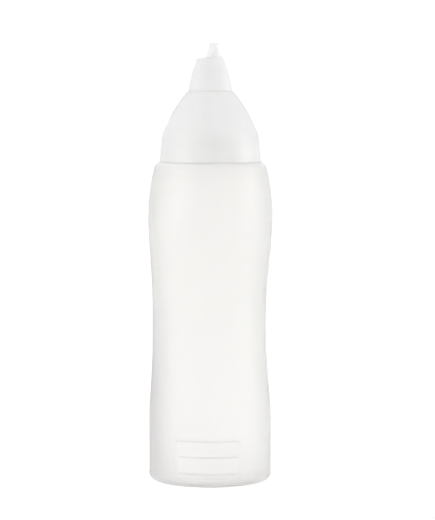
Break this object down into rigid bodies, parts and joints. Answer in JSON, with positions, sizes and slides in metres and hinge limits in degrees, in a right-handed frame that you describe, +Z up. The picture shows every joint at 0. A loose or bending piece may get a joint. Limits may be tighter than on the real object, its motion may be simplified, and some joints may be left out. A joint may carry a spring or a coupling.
{
  "type": "squeeze bottle",
  "caption": "Empty milky squeeze bottle for sauces, with a waist, a panel to write on, a screwed dome cap and a small tapered nozzle.",
  "frame": {"origin": "middle of the base, on the plane that the bottle stands on", "axes": "+Z up along the bottle's axis, -Y out of the writing panel, +X towards the side that the tip stands to"},
  "size_m": [0.0816, 0.0816, 0.2876],
  "materials": {
    "blown_polyethylene": "blown low-density polyethylene, translucent milky white with a soft satin skin",
    "cap_polypropylene": "moulded polypropylene, denser milky white with a satin skin",
    "nozzle_polyethylene": "moulded polyethylene, thin-walled and clearer at the tip"
  },
  "bodies": {
    "root": {"bottle_body": "blown_polyethylene", "dome_cap": "cap_polypropylene", "nozzle": "nozzle_polyethylene"}
  },
  "joints": []
}
